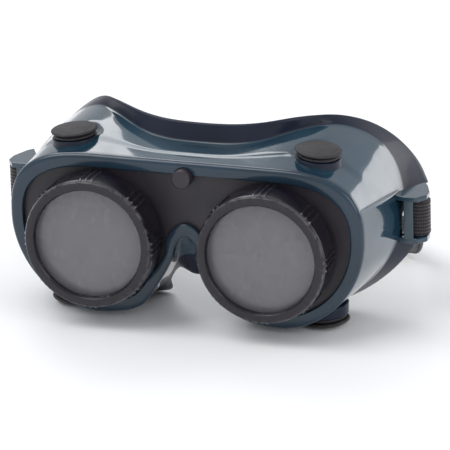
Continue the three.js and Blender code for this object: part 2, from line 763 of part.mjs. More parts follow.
// The slider: two outer bars on one side of both layers, a middle bar on the other side and
// rails past the strap's edges that join them.
function strapSlider() {
  const inner = LAYER / 2 + STRAP_THICKNESS / 2 + GAP;
  const depth = 2 * (inner + SLIDER_PLATE);
  const z = strapHeight(STRAP_REACH);
  const rise = STRAP_WIDTH / 2 + GAP;
  const barHeight = STRAP_WIDTH + 2 * GAP + 2;
  const barY = inner + SLIDER_PLATE / 2;
  let body = solid(block(SLIDER_LENGTH, depth, SLIDER_PLATE, [0, 0, rise + SLIDER_PLATE / 2]));
  body = body.add(solid(block(SLIDER_LENGTH, depth, SLIDER_PLATE, [0, 0, -rise - SLIDER_PLATE / 2])));
  for (const side of [-1, 1]) {
    const x = (side * (SLIDER_LENGTH - SLIDER_BAR)) / 2;
    body = body.add(solid(block(SLIDER_BAR, SLIDER_PLATE, barHeight, [x, -barY, 0])));
  }
  body = body.add(solid(block(SLIDER_BAR, SLIDER_PLATE, barHeight, [0, barY, 0])));
  return geometryOf(body).translate(SLIDER_X, STRAP_REACH, z);
}

// ---------------------------------------------------------------- assembly
addPart("frame_shell", frameShell(), softPvc());
addPart("front_plate", frontPlate(), hardPlastic());
addPart("centre_stud", centreStud(), hardPlastic());

for (const [name, x] of [["left", -EYE_X], ["right", EYE_X]]) {
  const eye = new THREE.Group();
  eye.position.x = x;
  goggles.add(eye);
  const coverFront = LIP_THICKNESS + GAP;
  const shadeFront = coverFront + COVER_THICKNESS + GAP;
  const gasketFront = shadeFront + SHADE_THICKNESS + GAP;
  addPart(`lens_ring_${name}`, lensRing(), ringPlastic(), eye);
  addPart(`cover_lens_${name}`, disc(LENS_RADIUS, coverFront, COVER_THICKNESS), clearGlass(), eye);
  addPart(`shade_lens_${name}`, disc(LENS_RADIUS, shadeFront, SHADE_THICKNESS), shadeGlass(), eye);
  addPart(`lens_gasket_${name}`, gasketRing(gasketFront), gasketRubber(), eye);
}

for (const vent of VENTS) {
  const place = ventPlace(vent.side, vent.up);
  goggles.add(place);
  addPart(`vent_body_${vent.name}`, ventBody(), ventRubber(), place);
  addPart(`vent_cap_${vent.name}`, ventCap(), ventRubber(), place);
}

addPart("head_strap", strapBand(), elastic());
addPart("strap_slider", strapSlider(), hardPlastic());

// The origin of the finished part is the middle of its footprint, on the floor.
const part = new THREE.Group();
part.add(goggles);
const box = new THREE.Box3().setFromObject(part, true);
const middle = box.getCenter(new THREE.Vector3());
goggles.position.set(-middle.x, -middle.y, -box.min.z);

export default part;
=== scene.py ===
"""Welding goggles: a soft PVC frame with a hard front plate, two screw rings over round
lenses, four domed vents and an elastic head strap. Lengths are in millimetres until a piece
is made; they are measured from the point midway between the lenses, on the rings' front."""

import bmesh
import bpy
import numpy as np
from mathutils import Matrix, Vector


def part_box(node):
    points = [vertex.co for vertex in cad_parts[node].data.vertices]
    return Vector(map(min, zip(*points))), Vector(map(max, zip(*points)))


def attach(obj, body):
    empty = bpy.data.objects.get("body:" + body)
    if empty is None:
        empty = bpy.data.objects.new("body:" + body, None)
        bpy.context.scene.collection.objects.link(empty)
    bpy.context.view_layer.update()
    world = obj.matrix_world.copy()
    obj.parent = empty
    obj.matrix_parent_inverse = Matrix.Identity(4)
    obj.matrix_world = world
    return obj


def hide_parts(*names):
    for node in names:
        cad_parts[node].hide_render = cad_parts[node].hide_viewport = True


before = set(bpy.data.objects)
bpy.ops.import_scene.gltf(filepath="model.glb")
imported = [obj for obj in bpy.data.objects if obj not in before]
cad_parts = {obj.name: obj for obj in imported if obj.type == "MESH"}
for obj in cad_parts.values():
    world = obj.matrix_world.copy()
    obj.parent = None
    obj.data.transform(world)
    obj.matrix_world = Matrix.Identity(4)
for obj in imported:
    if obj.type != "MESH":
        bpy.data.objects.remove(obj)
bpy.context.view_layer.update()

# ---------------------------------------------------------------- floor, light and camera
# A wide pale table, four soft boxes and a long lens, which looks from the wearer's left and a
# little above, at a point beside the nose arch.
MM = 0.001
ring_low, ring_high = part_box("lens_ring_right")
ORIGIN = np.array([0, ring_low.y, (ring_low.z + ring_high.z) / 2])
EYE_X = (ring_low.x + ring_high.x) / 2 / MM


class Wire:
    """A number carried by a shader socket. Arithmetic on it adds Math nodes."""

    def __init__(self, finish, socket):
        self.finish = finish
        self.socket = socket

    def math(self, operation, first, second=0.0):
        return self.finish.node("Math", {"operation": operation}, {0: first, 1: second})

    def wave(self):
        """A sine wave between 0 and 1."""
        return self.math("SINE", self) * 0.5 + 0.5

    def __add__(self, other):
        return self.math("ADD", self, other)

    def __radd__(self, other):
        return self.math("ADD", other, self)

    def __sub__(self, other):
        return self.math("SUBTRACT", self, other)

    def __rsub__(self, other):
        return self.math("SUBTRACT", other, self)

    def __mul__(self, other):
        return self.math("MULTIPLY", self, other)

    def __rmul__(self, other):
        return self.math("MULTIPLY", other, self)

    def __pow__(self, other):
        return self.math("POWER", self, other)

    def above(self, low, high):
        """0 below low, 1 above high, and straight between them."""
        spread = {"interpolation_type": "SMOOTHSTEP"}
        return self.finish.node("MapRange", spread, {"Value": self, 1: low, 2: high})


class Finish:
    """A material: its surface shader and the nodes that feed it."""

    def __init__(self, name, **constants):
        self.material = bpy.data.materials.new(name)
        self.material.use_nodes = True
        self.tree = self.material.node_tree
        self.surface = self.tree.nodes["Principled BSDF"]
        for key, value in constants.items():
            self.surface.inputs[key.replace("_", " ")].default_value = value

    def node(self, kind, settings=None, inputs=None, output=0):
        """One node of a type, its settings, then the values or wires of its sockets."""
        made = self.tree.nodes.new("ShaderNode" + kind)
        for key, value in (settings or {}).items():
            setattr(made, key, value)
        for key, value in (inputs or {}).items():
            self.feed(made.inputs[key], value)
        return Wire(self, made.outputs[output])

    def feed(self, socket, value):
        if isinstance(value, Wire):
            self.tree.links.new(value.socket, socket)
        else:
            socket.default_value = value

    def varies(self, socket, wire):
        self.feed(self.surface.inputs[socket], wire)

    def noise(self, scale, detail=2.0, stretch=(1, 1, 1)):
        """Noise on Object coordinates; scale is features per metre."""
        place = self.node("TexCoord", output="Object")
        drawn = self.node("Mapping", None, {"Vector": place, "Scale": stretch})
        return self.node("TexNoise", None, {"Vector": drawn, "Scale": scale, "Detail": detail})

    def colours(self, mask, first, second):
        """The first colour where mask is 0 and the second where it is 1."""
        mixed = {0: mask, 6: first, 7: second}
        return self.node("Mix", {"data_type": "RGBA"}, mixed, output=2)

    def relief(self, height, depth, strength=1.0):
        """Bump of a height from 0 to 1, depth metres deep."""
        inputs = {"Height": height, "Distance": depth, "Strength": strength}
        self.varies("Normal", self.node("Bump", None, inputs))


def rgb(red, green, blue, alpha=1.0):
    """A shader colour from screen values of 0 to 255."""
    screen = np.array([red, green, blue]) / 255
    linear = np.where(screen > 0.04045, ((screen + 0.055) / 1.055) ** 2.4, screen / 12.92)
    return (*(float(c) for c in linear), alpha)


def grid_faces(rows, columns, close_rows, close_columns):
    """Four-sided faces between neighbouring grid points, wrapped where a way is closed."""
    row = np.arange(rows if close_rows else rows - 1)
    column = np.arange(columns if close_columns else columns - 1)
    row, column = np.meshgrid(row, column, indexing="ij")
    row_on, column_on = (row + 1) % rows, (column + 1) % columns
    corners = [(row, column), (row, column_on), (row_on, column_on), (row_on, column)]
    return np.stack([r * columns + c for r, c in corners], -1).reshape(-1, 4)


def new_piece(name, points, faces, finish, sharp_angle=35, **attributes):
    """A piece from points in millimetres, with doubles merged and its faces turned out.
    An attribute gives each point a number that its material reads."""
    mesh = bpy.data.meshes.new(name)
    flat = points.reshape(-1, 3) * MM + ORIGIN
    mesh.from_pydata(flat.tolist(), [], [list(map(int, f)) for f in faces])
    for key, values in attributes.items():
        layer = mesh.attributes.new(key, "FLOAT", "POINT")
        layer.data.foreach_set("value", np.ravel(values).astype(np.float32))
    shaped = bmesh.new()
    shaped.from_mesh(mesh)
    bmesh.ops.remove_doubles(shaped, verts=shaped.verts, dist=2e-7)
    bmesh.ops.dissolve_degenerate(shaped, edges=shaped.edges, dist=1e-8)
    bmesh.ops.recalc_face_normals(shaped, faces=shaped.faces)
    shaped.to_mesh(mesh)
    shaped.free()
    mesh.shade_smooth()
    mesh.set_sharp_from_angle(angle=np.radians(sharp_angle))
    mesh.materials.append(finish.material)
    piece = bpy.data.objects.new(name, mesh)
    bpy.context.collection.objects.link(piece)
    return piece


FLOOR_HALF = 3000
floor_finish = Finish("table_top", Roughness=0.55)
floor_finish.varies(
    "Base Color",
    floor_finish.colours(floor_finish.noise(9, 3), rgb(246, 246, 247), rgb(250, 250, 250)),
)
floor_corners = np.array([[-1, -1], [1, -1], [1, 1], [-1, 1]]) * FLOOR_HALF
floor_level = -ORIGIN[2] / MM - 0.05
floor_points = np.column_stack([floor_corners, np.full(4, floor_level)])
floor = new_piece("table_top", floor_points, [[0, 1, 2, 3]], floor_finish)
floor.data.flip_normals()


def soft_box(name, place, target, size, power):
    """A square area light at a place, in metres, facing a target."""
    lamp = bpy.data.lights.new(name, "AREA")
    lamp.shape = "RECTANGLE"
    lamp.size, lamp.size_y = size
    lamp.energy = power
    holder = bpy.data.objects.new(name, lamp)
    holder.location = place
    holder.rotation_euler = (Vector(target) - Vector(place)).to_track_quat("-Z", "Y").to_euler()
    bpy.context.collection.objects.link(holder)


soft_box("key_light", (-0.9, -0.7, 1.7), (0, 0, 0), (1.4, 1.4), 20)
soft_box("fill_light", (1.6, -0.9, 0.9), (0, 0, 0), (1.2, 1.2), 9)
soft_box("back_light", (-0.9, 1.2, 1.4), (0, 0, 0), (0.8, 0.8), 6)
soft_box("side_light", (1.25, 1.5, 0.4), (0, 0, 0.05), (1.3, 0.7), 7)
world = bpy.data.worlds.new("studio")
world.use_nodes = True
world.node_tree.nodes["Background"].inputs["Color"].default_value = rgb(236, 238, 242)
world.node_tree.nodes["Background"].inputs["Strength"].default_value = 0.78
bpy.context.scene.world = world
bpy.context.scene.view_settings.view_transform = "Standard"

CAMERA_YAW = np.radians(19.09)
CAMERA_PITCH = np.radians(19.93)
CAMERA_ROLL = np.radians(-1.57)
CAMERA_DISTANCE = 2000
CAMERA_TARGET = np.array([23.47, 0, 14.56])
yaw_cos, yaw_sin = np.cos(CAMERA_YAW), np.sin(CAMERA_YAW)
pitch_cos, pitch_sin = np.cos(CAMERA_PITCH), np.sin(CAMERA_PITCH)
camera_back = np.array([yaw_sin * pitch_cos, -yaw_cos * pitch_cos, pitch_sin])
level_right = np.array([yaw_cos, yaw_sin, 0])
level_up = np.cross(camera_back, level_right)
camera_right = level_right * np.cos(CAMERA_ROLL) + level_up * np.sin(CAMERA_ROLL)
camera_up = level_up * np.cos(CAMERA_ROLL) - level_right * np.sin(CAMERA_ROLL)
camera_place = (CAMERA_TARGET + CAMERA_DISTANCE * camera_back) * MM + ORIGIN
camera = bpy.data.objects.new("camera", bpy.data.cameras.new("camera"))
camera.data.lens = 386.7
camera.data.sensor_width = 36
camera.data.clip_end = 50
axes = np.column_stack([camera_right, camera_up, camera_back, camera_place])
camera.matrix_world = Matrix([*axes.tolist(), [0, 0, 0, 1]])
bpy.context.collection.objects.link(camera)
bpy.context.scene.camera = camera

# ---------------------------------------------------------------- soft frame
# The frame is one soft moulding in dark blue-green PVC, glossy from the mould: a bezel round
# the plate, a wall, and a thin flange that is flared to lie on the brow, temples and cheeks.
TOP, LOBE, NOSE = 5, 20, 12
STATIONS = np.linspace(0, TOP + LOBE + NOSE, 371)
MIDDLE_Z = 5
BASE_X = EYE_X + 2
RIM_Y = 16
RIM_HALF_WIDTH, RIM_TOP, RIM_BOTTOM = 78.2, 34.6, -36.2
BEZEL = 5.8
FLANGE_HALF_WIDTH, FLANGE_TOP, FLANGE_BOTTOM, FLANGE_CROWN_X = 91.8, 46.1, -38.4, 47.5
CREASE_HALF_WIDTH, CREASE_TOP, CREASE_BOTTOM = 83, 41.2, -34.6
BROW_Y, TEMPLE_Y, FLANGE_SIDE_Y, CHEEK_Y, CREASE_SIDE_Y = 41.5, 89.5, 70.5, 53, 55
ARCH_Z, ARCH_BAND, ARCH_SHOULDER, ARCH_FOOT_X = 0.8, 6.1, 4, 22
FLAP_Z, FLAP_Y = -20, 30
LIP_DEPTH, PLATE, BEAD = 2, 2.2, 2.4
WALL, FLANGE_THICKNESS = 2.2, 1.8
GAP = 0.3


def smooth(t):
    return t * t * (3 - 2 * t)


def spline(knots, t):
    """A centripetal Catmull-Rom curve: between two knots it is the cubic whose end slopes
    follow the knots on both sides, weighted by the square roots of their distances."""
    knots = np.array(knots, float)
    k = np.clip(np.floor(t).astype(int), 1, len(knots) - 3)
    a, b, c, d = (knots[k + i] for i in (-1, 0, 1, 2))
    before, here, after = (
        np.sqrt(np.linalg.norm(q - p, axis=1))[:, None] for p, q in ((a, b), (b, c), (c, d))
    )
    start = ((b - a) / before - (c - a) / (before + here) + (c - b) / here) * here
    end = ((c - b) / here - (d - b) / (here + after) + (d - c) / after) * here
    s = (t - k)[:, None]
    return (
        b + start * s + (3 * (c - b) - 2 * start - end) * s**2 + (2 * (b - c) + start + end) * s**3
    )


def half_outline(side, top, top_centre, bottom, crown_x, powers, nose):
    """Half an outline, from the top centre round one eye to the nose arch: an eased climb to
    the crown, two quarter superellipses round the lobe and a spline down the nose."""
    run = STATIONS[STATIONS < TOP] / TOP
    brow = np.column_stack([crown_x * run, top_centre + (top - top_centre) * smooth(run) ** 2])
    share = (STATIONS[(STATIONS >= TOP) & (STATIONS <= TOP + LOBE)] - TOP) / LOBE
    angle = np.pi * (0.5 - share)
    upper = angle >= 0
    power = np.where(upper, powers[0], powers[1])
    reach = np.where(upper, top - MIDDLE_Z, MIDDLE_Z - bottom)
    centre = np.where(upper, crown_x, crown_x - (BASE_X - crown_x) * 2 * angle / np.pi)
    across = np.clip(np.cos(angle), 0, 1) ** (2 / power)
    up = np.sign(angle) * np.abs(np.sin(angle)) ** (2 / power)
    lobe = np.column_stack([centre + (side - centre) * across, MIDDLE_Z + reach * up])
    mirrored = (-nose[-2][0], nose[-2][1])
    knots = [(EYE_X + 12, bottom), (BASE_X, bottom), *nose, mirrored]
    down = (STATIONS[STATIONS > TOP + LOBE] - TOP - LOBE) / NOSE
    arch = spline(knots, 1 + (len(knots) - 3) * down)
    outline = np.vstack([brow, lobe, arch])
    outline[:, 0] = np.maximum(outline[:, 0], 0)
    outline[-1, 0] = 0
    return outline


def half_depths(centre, crown, brow, temple, upper, side, cheek, foot, apex):
    """Depth at every station: cubics through the named depths, sloped by their neighbours."""
    lobe = TOP + LOBE * np.array([0, 0.125, 0.25, 0.375, 0.5, 0.85])
    marks = np.array([0, TOP / 2, *lobe, TOP + LOBE + 0.3 * NOSE, TOP + LOBE + NOSE])
    depth = np.array([centre, centre, crown, brow, temple, upper, side, cheek, foot, apex], float)
    slope = np.zeros(len(marks))
    slope[1:-1] = (depth[2:] - depth[:-2]) / (marks[2:] - marks[:-2])
    k = np.clip(np.searchsorted(marks, STATIONS), 1, len(marks) - 1)
    width = marks[k] - marks[k - 1]
    t = (STATIONS - marks[k - 1]) / width
    lean = t * (1 - t) * width * ((1 - t) * slope[k - 1] - t * slope[k])
    return depth[k - 1] + (depth[k] - depth[k - 1]) * smooth(t) + lean


def rail(half, depths):
    """The closed ring of points: the half outline at its depths, and its mirror image."""
    right = np.column_stack([half[:, 0], np.broadcast_to(depths, len(half)), half[:, 1]])
    return np.vstack([right, right[-2:0:-1] * [-1, 1, 1]])


def relaxed(points, passes):
    """A closed ring whose upper part is averaged, again and again, with its neighbours."""
    share = smooth(np.clip((points[:, 2:] - 16) / 12, 0, 1)) / 2
    for _ in range(passes):
        points = points + (np.roll(points, 1, 0) + np.roll(points, -1, 0) - 2 * points) * share / 2
    return points


def between(first, second, share):
    return first + (second - first) * share


arch_middle_x = between(ARCH_SHOULDER, ARCH_FOOT_X, 0.5)
arch_high_x = between(ARCH_SHOULDER, ARCH_FOOT_X, 0.14)
bezel_outer = half_outline(
    RIM_HALF_WIDTH, RIM_TOP, RIM_TOP, RIM_BOTTOM, EYE_X, (2.75, 1.95),
    [
        (ARCH_FOOT_X, RIM_BOTTOM + 3.6),
        (arch_middle_x, between(RIM_BOTTOM, ARCH_Z, 0.4)),
        (arch_high_x, between(RIM_BOTTOM, ARCH_Z, 0.71)),
        (ARCH_SHOULDER - 0.3, ARCH_Z - 3),
        (0, ARCH_Z),
    ],
)
bezel_inner = half_outline(
    RIM_HALF_WIDTH - BEZEL, RIM_TOP - BEZEL, RIM_TOP - BEZEL, RIM_BOTTOM + BEZEL, EYE_X, (2.6, 2),
    [
        (ARCH_FOOT_X + 2.5, RIM_BOTTOM + BEZEL + 3),
        (arch_middle_x + 2.8, between(RIM_BOTTOM, ARCH_Z, 0.4) + 4.6),
        (arch_high_x + 3.3, between(RIM_BOTTOM, ARCH_Z, 0.71) + 2),
        (ARCH_SHOULDER + 3.9, ARCH_Z + 0.6),
        (0, ARCH_Z + ARCH_BAND),
    ],
)
crease = rail(
    half_outline(
        CREASE_HALF_WIDTH, CREASE_TOP, RIM_TOP + 0.6, CREASE_BOTTOM, FLANGE_CROWN_X, (1.8, 1.9),
        [
            (ARCH_FOOT_X + 0.5, CREASE_BOTTOM + 2.2),
            (ARCH_FOOT_X - 6.5, CREASE_BOTTOM + 9.5),
            (ARCH_FOOT_X - 12, between(CREASE_BOTTOM, ARCH_Z, 0.5)),
            (ARCH_SHOULDER + 1.5, ARCH_Z - 11.5),
            (0, ARCH_Z - 9),
        ],
    ),
    half_depths(
        BROW_Y - 1.5, BROW_Y + 17, BROW_Y + 25.5, TEMPLE_Y - 18, TEMPLE_Y - 25,
        CREASE_SIDE_Y, CHEEK_Y - 8, CHEEK_Y - 13, FLAP_Y - 7,
    ),
)
tip = rail(
    half_outline(
        FLANGE_HALF_WIDTH, FLANGE_TOP, FLANGE_TOP - 3.6, FLANGE_BOTTOM, FLANGE_CROWN_X,
        (1.26, 1.65),
        [
            (ARCH_FOOT_X - 2.5, FLANGE_BOTTOM + 1.8),
            (ARCH_FOOT_X - 4.2, FLANGE_BOTTOM + 8),
            (ARCH_SHOULDER + 7.2, FLAP_Z - 1.8),
            (ARCH_SHOULDER + 1, FLAP_Z - 0.2),
            (0, FLAP_Z),
        ],
    ),
    half_depths(
        BROW_Y, BROW_Y + 13.5, TEMPLE_Y - 14.5, TEMPLE_Y, TEMPLE_Y - 9.5,
        FLANGE_SIDE_Y, CHEEK_Y + 1, CHEEK_Y - 3, FLAP_Y,
    ),
)


def eased(corners, radii, steps=5):
    """The closed line through corners, each one rounded by a parabola that starts and ends
    its radius away from the corner."""
    corners = np.array(corners, float)
    radii = np.broadcast_to(radii, len(corners))[:, None]

    def towards(other):
        step = other - corners
        length = np.maximum(np.linalg.norm(step, axis=1), 1e-9)[:, None]
        return corners + step * np.minimum(radii / length, 0.48)

    start = towards(np.roll(corners, 1, 0))[:, None]
    end = towards(np.roll(corners, -1, 0))[:, None]
    t = np.linspace(0, 1, steps)[None, :, None]
    return ((1 - t) ** 2 * start + 2 * t * (1 - t) * corners[:, None] + t**2 * end).reshape(-1, 2)


def bezel_rail(share, depth):
    return rail(between(bezel_inner, bezel_outer, share), depth)


def turned_in(rails, thickness):
    """The rails moved by a thickness along the surface's normal: the cross product of the
    way across the rails and the way along them."""
    across = np.gradient(rails, axis=0)
    along = np.roll(rails, -3, 1) - np.roll(rails, 3, 1)
    normal = np.cross(across, along)
    normal /= np.linalg.norm(normal, axis=-1, keepdims=True)
    return rails + normal * thickness


CREASE_PASSES, TIP_PASSES = 120, 420
BEND_START, BEND_END = 0.93, 0.16  # shares of the wall and of the flange
WALL_ROWS, BEND_ROWS, FLARE_ROWS = 22, 10, 8
crease, tip = relaxed(crease, CREASE_PASSES), relaxed(tip, TIP_PASSES)
front = bezel_rail(1, RIM_Y + 2.2)
wall_end = between(front, crease, BEND_START)
flare_start = between(crease, tip, BEND_END)
wall_shares = np.linspace(0.04, 1, WALL_ROWS)[:, None, None]
bend_shares = np.linspace(0, 1, BEND_ROWS + 1)[1:, None, None]
flare_shares = np.linspace(0, 1, FLARE_ROWS + 1)[1:, None, None]
outer_wall = between(front, wall_end, wall_shares)
bend = (1 - bend_shares) ** 2 * wall_end
bend = bend + 2 * bend_shares * (1 - bend_shares) * crease + bend_shares**2 * flare_start
outer = np.concatenate([outer_wall, bend, between(flare_start, tip, flare_shares)])
outer_rows = np.arange(len(outer))
thin_rows = [WALL_ROWS, WALL_ROWS + BEND_ROWS + 2]
thickness = np.interp(outer_rows, thin_rows, [WALL, FLANGE_THICKNESS])
inner = turned_in(outer, thickness[:, None, None])

# a low step crosses the top of the wall, in front of the vents
STEP_AT, STEP_RISE = 0.3, 0.45
step_rows = [0, WALL_ROWS - 1, WALL_ROWS + BEND_ROWS - 1]
step_shares = np.interp(outer_rows, step_rows, [0, 1, 1.3])[:, None, None]
raised = np.clip((step_shares - STEP_AT) / 0.05, 0, 1) * np.clip((1.1 - step_shares) / 0.4, 0, 1)
raised = smooth(raised) * smooth(np.clip((outer[:, :, 2:] - 24) / 8, 0, 1))
outer = outer - (turned_in(outer, 1.0) - outer) * raised * STEP_RISE

# the flange's edge is a half round
round_shares = np.linspace(0, np.pi, 8)[1:-1, None, None]
middle = (outer[-1] + inner[-1]) / 2
outwards = outer[-1] - outer[-3]
outwards /= np.linalg.norm(outwards, axis=-1, keepdims=True)
half_edge = (outer[-1] - inner[-1]) / 2
edge_round = middle + half_edge * np.cos(round_shares)
edge_round = edge_round + outwards * np.sin(round_shares) * FLANGE_THICKNESS / 2

# the bezel's lip lies before the plate's groove and its bead behind it
groove = RIM_Y + LIP_DEPTH + GAP + PLATE + GAP
EASE_STEPS = 5
bezel_profile = [
    (0.56 * BEZEL, groove),
    (0.56 * BEZEL, RIM_Y + LIP_DEPTH),
    (0, RIM_Y + LIP_DEPTH),
    (0, RIM_Y),
    (BEZEL, RIM_Y),
    (BEZEL, RIM_Y + 5),
    (0.6 * BEZEL, groove + BEAD),
    (0.16 * BEZEL, groove + BEAD),
    (0.16 * BEZEL, groove),
]
bezel_line = eased(bezel_profile, [0.2, 0.2, 0.5, 0.7, 2.1, 0.1, 0.3, 0.5, 0.3], EASE_STEPS)
lip_line, bead_line = bezel_line[: 5 * EASE_STEPS], bezel_line[6 * EASE_STEPS :]
lip = np.stack([bezel_rail(a / BEZEL, y) for a, y in lip_line])
bead = np.stack([bezel_rail(a / BEZEL, y) for a, y in bead_line])
shell = np.concatenate([lip, outer, edge_round, inner[::-1], bead])

# the lip is cut away round the stud's head
STUD_Z, STUD_NOTCH = 27.9, 4.4
from_stud = shell[:, :, ::2] - [0, STUD_Z]
stud_distance = np.linalg.norm(from_stud, axis=-1, keepdims=True)
near_stud = (stud_distance < STUD_NOTCH) & (shell[:, :, 1:2] < groove + BEAD + 0.5)
pushed = from_stud / np.maximum(stud_distance, 1e-6) * STUD_NOTCH + [0, STUD_Z]
shell[:, :, ::2] = np.where(near_stud, pushed, shell[:, :, ::2])

# the wall is faced flat under each vent, and rises in a cone round the facing
VENT_Y, VENT_TILT = 33, np.radians(5)
FACING_RADIUS, FACING_SLOPE, FACING_SUNK, FACING_REACH = 10.6, 0.9, 0.1, 6
VENTS = {
    "top_left": (-54, 36.3, -1, 1),
    "top_right": (54, 36.3, 1, 1),
    "bottom_left": (-56, -33.6, -1, -1),
    "bottom_right": (56, -33.6, 1, -1),
}


def vent_axes(side, up):
    """The rows are a vent's across, back and outward directions."""
    turn = side * VENT_TILT
    out = np.array([np.sin(turn), 0, up * np.cos(turn)])
    back = np.array([0, 1, 0])
    return np.stack([np.cross(back, out), back, out])


for vent_x, vent_z, vent_side, vent_up in VENTS.values():
    vent_turn = vent_axes(vent_side, vent_up)
    local = (shell - [vent_x, VENT_Y, vent_z]) @ vent_turn.T
    reach = np.linalg.norm(local[:, :, :2], axis=-1)
    cone = np.maximum(reach - FACING_RADIUS, 0) * FACING_SLOPE - FACING_SUNK
    faced = np.minimum(local[:, :, 2], cone)
    local[:, :, 2] = np.where(local[:, :, 2] > -FACING_REACH, faced, local[:, :, 2])
    shell = local @ vent_turn + [vent_x, VENT_Y, vent_z]

pvc = Finish("soft_pvc", IOR=1.3, Coat_Roughness=0.05, Coat_IOR=1.6)
cloudy = pvc.noise(26, 3).above(0.3, 0.7)
flange_tint = pvc.node("Attribute", {"attribute_name": "flange"}, output=2)
wall_colour = pvc.colours(cloudy, rgb(26, 51, 66), rgb(35, 63, 79))
flange_colour = pvc.colours(cloudy, rgb(20, 27, 42), rgb(26, 34, 51))
pvc.varies("Base Color", pvc.colours(flange_tint, wall_colour, flange_colour))
smudge = pvc.noise(70, 4).above(0.45, 0.75)
pvc.varies("Roughness", 0.14 + smudge * 0.06 + flange_tint * 0.2)
pvc.varies("Coat Weight", (0.85 - smudge * 0.12) * (1 - flange_tint * 0.88))
pvc.relief(pvc.noise(620, 2) * 0.25 + pvc.noise(60, 2), 0.0001)

LIP_TINT, INSIDE_TINT = 0.45, 0.6
flange_share = np.concatenate(
    [
        np.full(len(lip), LIP_TINT),
        np.interp(outer_rows, [WALL_ROWS + 4, WALL_ROWS + 6], [0, 1]),
        np.ones(len(edge_round)),
        np.interp(outer_rows, [WALL_ROWS + 2, WALL_ROWS + 11], [INSIDE_TINT, 1])[::-1],
        np.full(len(bead), INSIDE_TINT),
    ]
)
frame_faces = grid_faces(len(shell), shell.shape[1], True, True)
flange_share = np.repeat(flange_share, shell.shape[1])
soft_frame = new_piece("soft_frame", shell, frame_faces, pvc, flange=flange_share)

# a notch in the flange's edge lets the strap through behind each lug
LUG_X, LUG_Y, LUG_Z = 89.3, 59.5, 4
LUG_WINDOW, LUG_PLATE, LUG_GUARD = 16.2, 2.3, 1.8
LUG_LOOP = 5.3
notch_inner = LUG_X - LUG_LOOP - GAP - 1


def box_points(low, high):
    """The eight corners of a box, in mesh order."""
    low, high = np.array(low, float), np.array(high, float)
    pick = np.array([[i & 1, i >> 1 & 1, i >> 2] for i in range(8)])
    return low + (high - low) * pick


BOX_FACES = np.array([
    [0, 2, 3, 1], [4, 5, 7, 6], [0, 1, 5, 4], [2, 6, 7, 3], [0, 4, 6, 2], [1, 3, 7, 5],
])
notch_low = (notch_inner, LUG_Y - 6, LUG_Z - LUG_WINDOW / 2)
notch_high = (FLANGE_HALF_WIDTH + 4, LUG_Y + 30, LUG_Z + LUG_WINDOW / 2)
one_notch = box_points(notch_low, notch_high)
notch_points = np.concatenate([one_notch, one_notch * [-1, 1, 1]])
cutter = new_piece("notches", notch_points, np.vstack([BOX_FACES, BOX_FACES + 8]), pvc)


def cut(piece, cutter):
    """Takes the cutter's space out of the piece, whose mesh then holds the result."""
    step = piece.modifiers.new("cut", "BOOLEAN")
    step.object = cutter
    step.operation = "DIFFERENCE"
    step.solver = "EXACT"
    shown = piece.evaluated_get(bpy.context.evaluated_depsgraph_get())
    piece.data = bpy.data.meshes.new_from_object(shown)
    piece.modifiers.clear()
    piece.data.set_sharp_from_angle(angle=np.radians(35))
    bpy.data.objects.remove(cutter)


cut(soft_frame, cutter)
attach(soft_frame, "frame")
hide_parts("frame_shell")

# ---------------------------------------------------------------- vent seats
# A round boss of the same PVC stands under each vent, moulded with the wall. It has the
# flange's darker, rougher finish; the darker colour is painted shade under the vent cap.
SEAT_RADIUS, SEAT_BORE, SEAT_DEPTH = 9.7, 3, 4.6


def turned(profile, segments=96, angles=None):
    """A profile of (radius, height) points carried round the Z axis at even angles."""
    if angles is None:
        angles = np.arange(segments) * 2 * np.pi / segments
    radius, height = np.array(profile, float).T[:, :, None]
    flat = np.zeros_like(angles)
    return np.stack([radius * np.cos(angles), radius * np.sin(angles), height + flat], -1)


def turned_piece(name, points, finish, **attributes):
    return new_piece(name, points, grid_faces(*points.shape[:2], True, True), finish, **attributes)


def finished(piece, body, slot, *nodes):
    """The piece moves with a body and stands for CAD nodes, which are hidden. The slot is not used.
    """
    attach(piece, body)
    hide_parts(*nodes)


seat_profile = eased(
    [
        (SEAT_BORE, -SEAT_DEPTH), (SEAT_RADIUS + 0.5, -SEAT_DEPTH), (SEAT_RADIUS + 0.05, -1.4),
        (SEAT_RADIUS, 0), (SEAT_BORE, 0),
    ],
    [0.1, 0.3, 1.2, 0.4, 0.1],
)
for vent_name, (vent_x, vent_z, vent_side, vent_up) in VENTS.items():
    seat_points = turned(seat_profile) @ vent_axes(vent_side, vent_up)
    seat_points = seat_points + [vent_x, VENT_Y, vent_z]
    # painted shade: the whole seat takes the flange's darker colour, for the shade under the vent
    # cap
    seat_painted_shade = np.ones(seat_points.shape[:2])
    seat = turned_piece("vent_seat_" + vent_name, seat_points, pvc, flange=seat_painted_shade)
    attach(seat, "frame")

# ---------------------------------------------------------------- strap lugs
# Two flat plates grow out of each side of the frame, joined by a guard post in front and a
# round bar behind it, which the strap is folded round.
LUG_BAR_RADIUS = 3.6
LUG_SUNK = 1  # the post and the bar end inside the plates
lug_front = LUG_Y - LUG_LOOP - GAP - LUG_GUARD


def prism(outline, low, high):
    """Points and faces of a flat outline in X and Y raised from low to high."""
    outline = np.array(outline, float)
    count = len(outline)
    ends = [np.column_stack([outline, np.full(count, z)]) for z in (low, high)]
    sides = [[i, (i + 1) % count, count + (i + 1) % count, count + i] for i in range(count)]
    caps = [list(range(count))[::-1], list(range(count, 2 * count))]
    return np.vstack(ends), sides + caps


def plate_outline(back):
    return [
        (CREASE_HALF_WIDTH - 2.2, lug_front + 1.2),
        (LUG_X - 4.6, lug_front),
        (LUG_X + 1.6, lug_front),
        (LUG_X + 4.6, LUG_Y - 3),
        (LUG_X + 4.4, LUG_Y + 2),
        (FLANGE_HALF_WIDTH - 1.2, FLANGE_SIDE_Y - 1),
        (FLANGE_HALF_WIDTH - 3.6, back),
        (CREASE_HALF_WIDTH - 1.6, LUG_Y),
    ]


